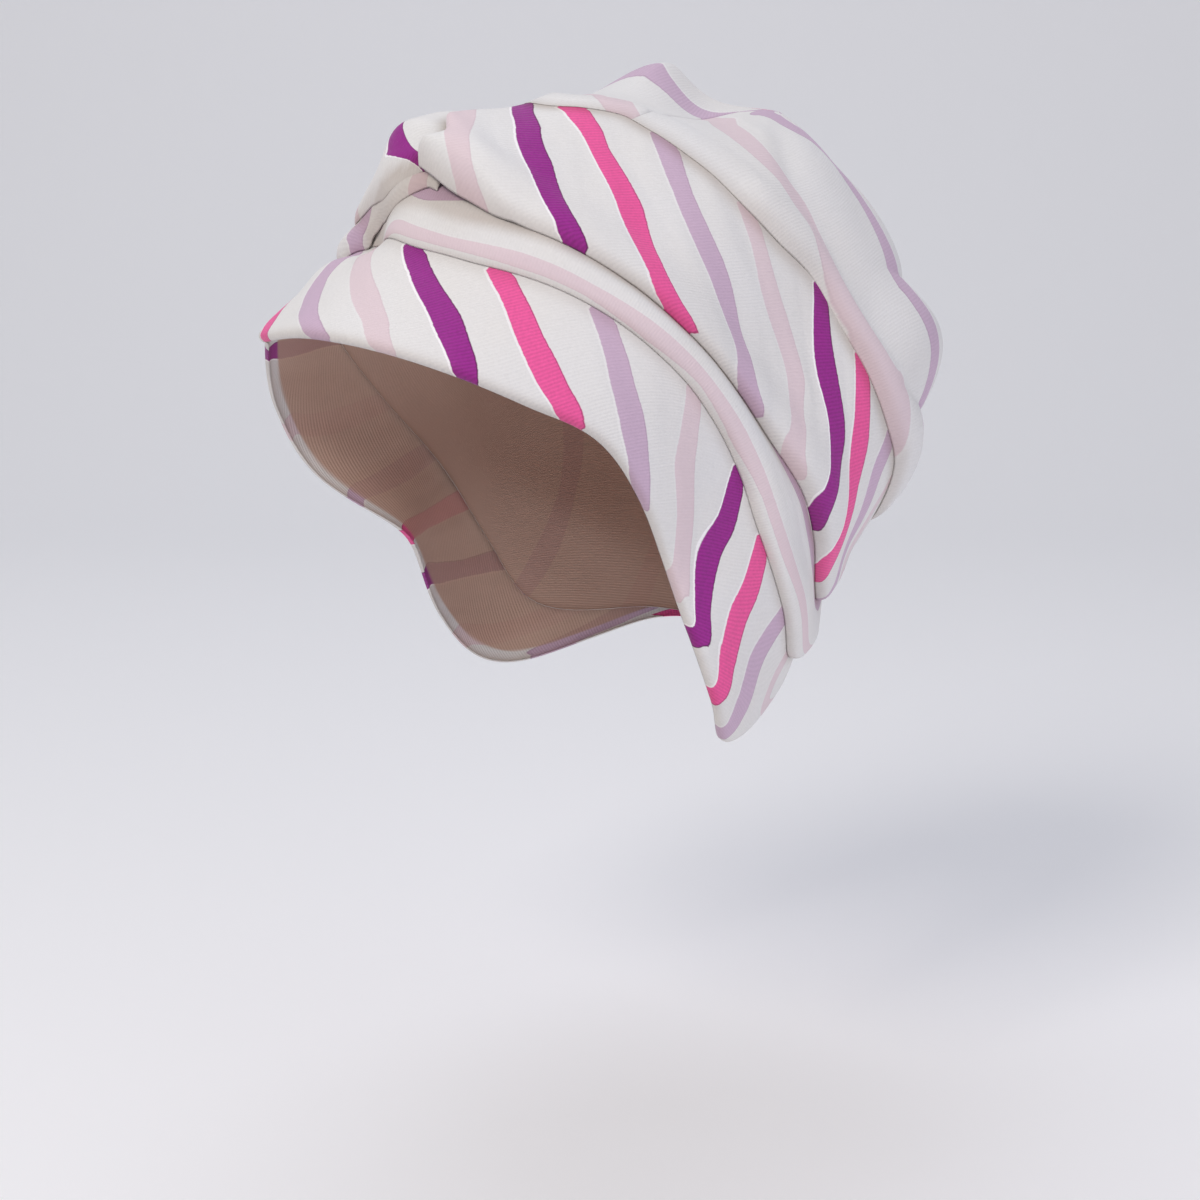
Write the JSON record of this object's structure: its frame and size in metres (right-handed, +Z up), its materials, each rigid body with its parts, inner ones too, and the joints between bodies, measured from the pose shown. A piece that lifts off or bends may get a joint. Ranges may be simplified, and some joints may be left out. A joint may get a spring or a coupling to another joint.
{
  "type": "chemo cap",
  "caption": "Pre-tied twist-front jersey head wrap: a soft base cap with a lower band, rolled folds, side wraps and two puffed crown folds.",
  "frame": {"origin": "centre of the head opening, level with the temples, where the wearer's head comes in", "axes": "+Z up the standing wearer, -Y out of the wearer's forehead, +X to the wearer's left"},
  "size_m": [0.1999, 0.3073, 0.2654],
  "materials": {
    "striped_jersey": "cream cotton jersey with a fine rib, printed with wavy stripes of purple, pink, lavender and pale pink"
  },
  "bodies": {
    "root": {"crown": "striped_jersey", "brim_band": "striped_jersey", "fold_left": "striped_jersey", "fold_right": "striped_jersey", "wrap_left": "striped_jersey", "wrap_right": "striped_jersey", "crown_fold_left": "striped_jersey", "crown_fold_right": "striped_jersey"}
  },
  "joints": []
}
